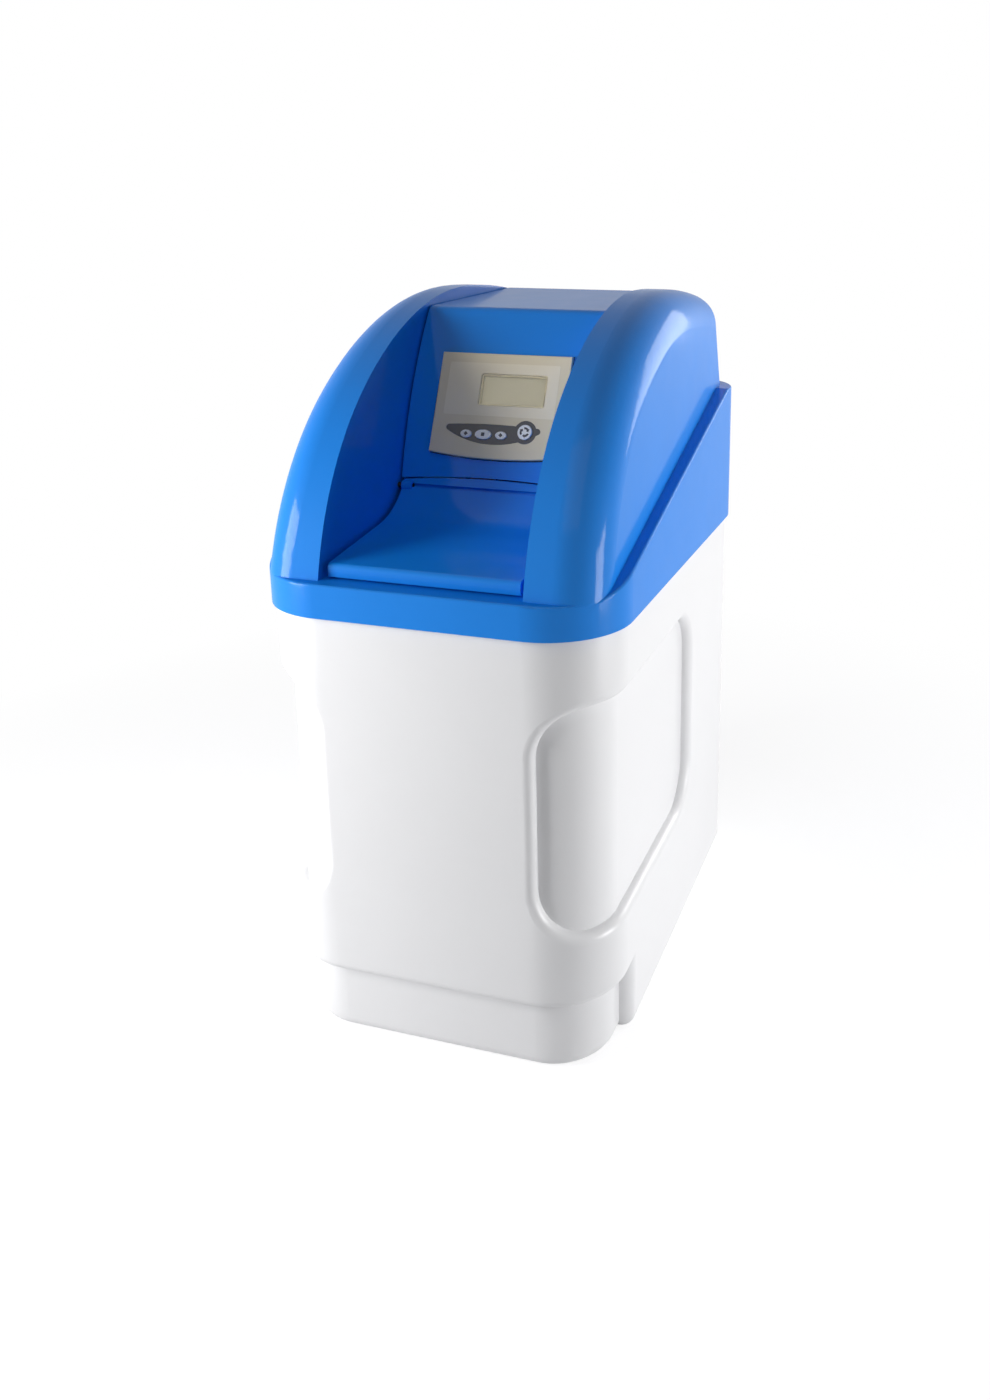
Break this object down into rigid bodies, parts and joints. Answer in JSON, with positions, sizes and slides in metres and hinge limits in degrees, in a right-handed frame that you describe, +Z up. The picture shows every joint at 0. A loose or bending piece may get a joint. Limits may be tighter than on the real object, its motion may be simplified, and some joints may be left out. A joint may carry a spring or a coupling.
{
  "type": "water softener",
  "caption": "Cabinet water softener with a moulded hood, hinged salt lid, leaning control panel, resin tank, cam-driven valve, bypass and brine float valve.",
  "frame": {"origin": "floor, under the centre of the hood", "axes": "+Z up, +Y to the pipes at the rear, +X to the right as seen from the front"},
  "size_m": [0.33, 0.532, 0.6665],
  "materials": {
    "white_shell": "semi-gloss moulded polyethylene",
    "blue_shell": "glossy moulded plastic",
    "beige_plate": "fine matt moulded plastic",
    "grey_film": "printed polyester film",
    "white_button": "satin moulded plastic",
    "display_lens": "clear polycarbonate",
    "display_panel": "liquid crystal panel",
    "circuit_green": "solder mask",
    "black_plastic": "glass-filled nylon",
    "grey_plastic": "glass-filled noryl",
    "natural_acetal": "acetal",
    "zinc_steel": "zinc plated",
    "wound_tank": "filament-wound glass fibre with a blue-grey liner",
    "resin_beads": "ion exchange beads",
    "black_rubber": "EPDM",
    "tube_white": "polyethylene tube",
    "float_foam": "closed-cell float"
  },
  "bodies": {
    "softener": {"brine_fitting": "grey_plastic", "brine_line": "tube_white", "brine_valve": "tube_white", "brine_well": "tube_white", "brine_well_cap": "tube_white", "bypass_body": "black_plastic", "cabinet": "white_shell", "circuit_board": "circuit_green", "connector_nuts": "grey_plastic", "connector_seals": "black_rubber", "control_fascia": "blue_shell", "controller_faceplate": "beige_plate", "controller_housing": "black_plastic", "disc_pivot_pin": "zinc_steel", "display_window": "display_lens", "drain_fitting": "grey_plastic", "fascia_screws": "zinc_steel", "gear_motor": "zinc_steel", "hood": "blue_shell", "hood_screws": "zinc_steel", "injector_cap": "grey_plastic", "inlet_connector": "black_plastic", "keypad_overlay": "grey_film", "lcd_panel": "display_panel", "lower_distributor": "tube_white", "optical_sensor": "black_plastic", "outlet_connector": "black_plastic", "overflow_elbow": "grey_plastic", "overflow_gasket": "black_rubber", "overflow_nut": "grey_plastic", "power_inlet": "black_plastic", "resin_bed": "resin_beads", "resin_tank": "wound_tank", "riser_tube": "tube_white", "tank_adapter": "black_plastic", "tank_boot": "black_plastic", "tank_oring": "black_rubber", "upper_distributor": "tube_white", "valve_body": "black_plastic", "valve_top_plate": "grey_plastic"},
    "salt_lid_body": {"salt_lid": "blue_shell", "lid_hinge_pins": "zinc_steel"},
    "button_down_body": {"button_down": "white_button"},
    "button_set_body": {"button_set": "white_button"},
    "button_up_body": {"button_up": "white_button"},
    "button_regen_body": {"button_regen": "white_button"},
    "camshaft_body": {"camshaft": "natural_acetal", "cam_drive_gear": "natural_acetal"},
    "motor_pinion_body": {"motor_pinion": "natural_acetal"},
    "turbine_body": {"flow_turbine": "natural_acetal"},
    "float_body": {"float_rod": "tube_white", "brine_float": "float_foam"},
    "rotor_inlet_body": {"bypass_rotor_inlet": "white_button"},
    "rotor_outlet_body": {"bypass_rotor_outlet": "white_button"},
    "valve_disc_1_body": {"valve_disc_1": "natural_acetal"},
    "valve_disc_2_body": {"valve_disc_2": "natural_acetal"},
    "valve_disc_3_body": {"valve_disc_3": "natural_acetal"},
    "valve_disc_4_body": {"valve_disc_4": "natural_acetal"},
    "valve_disc_5_body": {"valve_disc_5": "natural_acetal"},
    "valve_disc_6_body": {"valve_disc_6": "natural_acetal"}
  },
  "joints": [
    {"name": "salt_lid_hinge", "type": "hinge", "parent": "softener", "child": "salt_lid_body", "pos_m": [0, -0.098, 0.4905], "axis": [-1, 0, 0], "range_deg": [0, 105]},
    {"name": "button_down_press", "type": "slide", "parent": "softener", "child": "button_down_body", "axis": [0, 0.9115, -0.4114], "range_m": [0, 0.001], "stiffness_N_per_m": 600, "springref_m": -0.0005},
    {"name": "button_set_press", "type": "slide", "parent": "softener", "child": "button_set_body", "axis": [0, 0.9115, -0.4114], "range_m": [0, 0.001], "stiffness_N_per_m": 600, "springref_m": -0.0005},
    {"name": "button_up_press", "type": "slide", "parent": "softener", "child": "button_up_body", "axis": [0, 0.9115, -0.4114], "range_m": [0, 0.001], "stiffness_N_per_m": 600, "springref_m": -0.0005},
    {"name": "button_regen_press", "type": "slide", "parent": "softener", "child": "button_regen_body", "axis": [0, 0.9115, -0.4114], "range_m": [0, 0.001], "stiffness_N_per_m": 600, "springref_m": -0.0005},
    {"name": "camshaft_turn", "type": "hinge", "parent": "softener", "child": "camshaft_body", "pos_m": [0, 0.095, 0.544], "axis": [0, 1, 0], "continuous": true},
    {"name": "pinion_turn", "type": "hinge", "parent": "softener", "child": "motor_pinion_body", "pos_m": [0, -0.003, 0.5752], "axis": [0, 1, 0], "continuous": true},
    {"name": "valve_disc_1_tilt", "type": "hinge", "parent": "softener", "child": "valve_disc_1_body", "pos_m": [-0.017, 0.015, 0.5282], "axis": [0, 1, 0], "range_deg": [0, 7], "stiffness_Nm_per_rad": 0.05, "springref_deg": -5.73},
    {"name": "valve_disc_2_tilt", "type": "hinge", "parent": "softener", "child": "valve_disc_2_body", "pos_m": [-0.017, 0.036, 0.5282], "axis": [0, 1, 0], "range_deg": [0, 7], "stiffness_Nm_per_rad": 0.05, "springref_deg": -5.73},
    {"name": "valve_disc_3_tilt", "type": "hinge", "parent": "softener", "child": "valve_disc_3_body", "pos_m": [-0.017, 0.057, 0.5282], "axis": [0, 1, 0], "range_deg": [0, 7], "stiffness_Nm_per_rad": 0.05, "springref_deg": -5.73},
    {"name": "valve_disc_4_tilt", "type": "hinge", "parent": "softener", "child": "valve_disc_4_body", "pos_m": [-0.017, 0.078, 0.5282], "axis": [0, 1, 0], "range_deg": [0, 7], "stiffness_Nm_per_rad": 0.05, "springref_deg": -5.73},
    {"name": "valve_disc_5_tilt", "type": "hinge", "parent": "softener", "child": "valve_disc_5_body", "pos_m": [-0.017, 0.099, 0.5282], "axis": [0, 1, 0], "range_deg": [0, 7], "stiffness_Nm_per_rad": 0.05, "springref_deg": -5.73},
    {"name": "valve_disc_6_tilt", "type": "hinge", "parent": "softener", "child": "valve_disc_6_body", "pos_m": [-0.017, 0.12, 0.5282], "axis": [0, 1, 0], "range_deg": [0, 7], "stiffness_Nm_per_rad": 0.05, "springref_deg": -5.73},
    {"name": "turbine_spin", "type": "hinge", "parent": "softener", "child": "turbine_body", "pos_m": [-0.026, 0.157, 0.485], "axis": [0, 1, 0], "continuous": true},
    {"name": "float_rise", "type": "slide", "parent": "softener", "child": "float_body", "axis": [0, 0, 1], "range_m": [0, 0.04]},
    {"name": "bypass_inlet_turn", "type": "hinge", "parent": "softener", "child": "rotor_inlet_body", "pos_m": [0.026, 0.1963, 0.485], "axis": [0, 0, 1], "range_deg": [0, 90]},
    {"name": "bypass_outlet_turn", "type": "hinge", "parent": "softener", "child": "rotor_outlet_body", "pos_m": [-0.026, 0.1963, 0.485], "axis": [0, 0, 1], "range_deg": [0, 90]}
  ],
  "couplings": [
    {"joint": "pinion_turn", "follows": "camshaft_turn", "ratio": -3.3333}
  ]
}
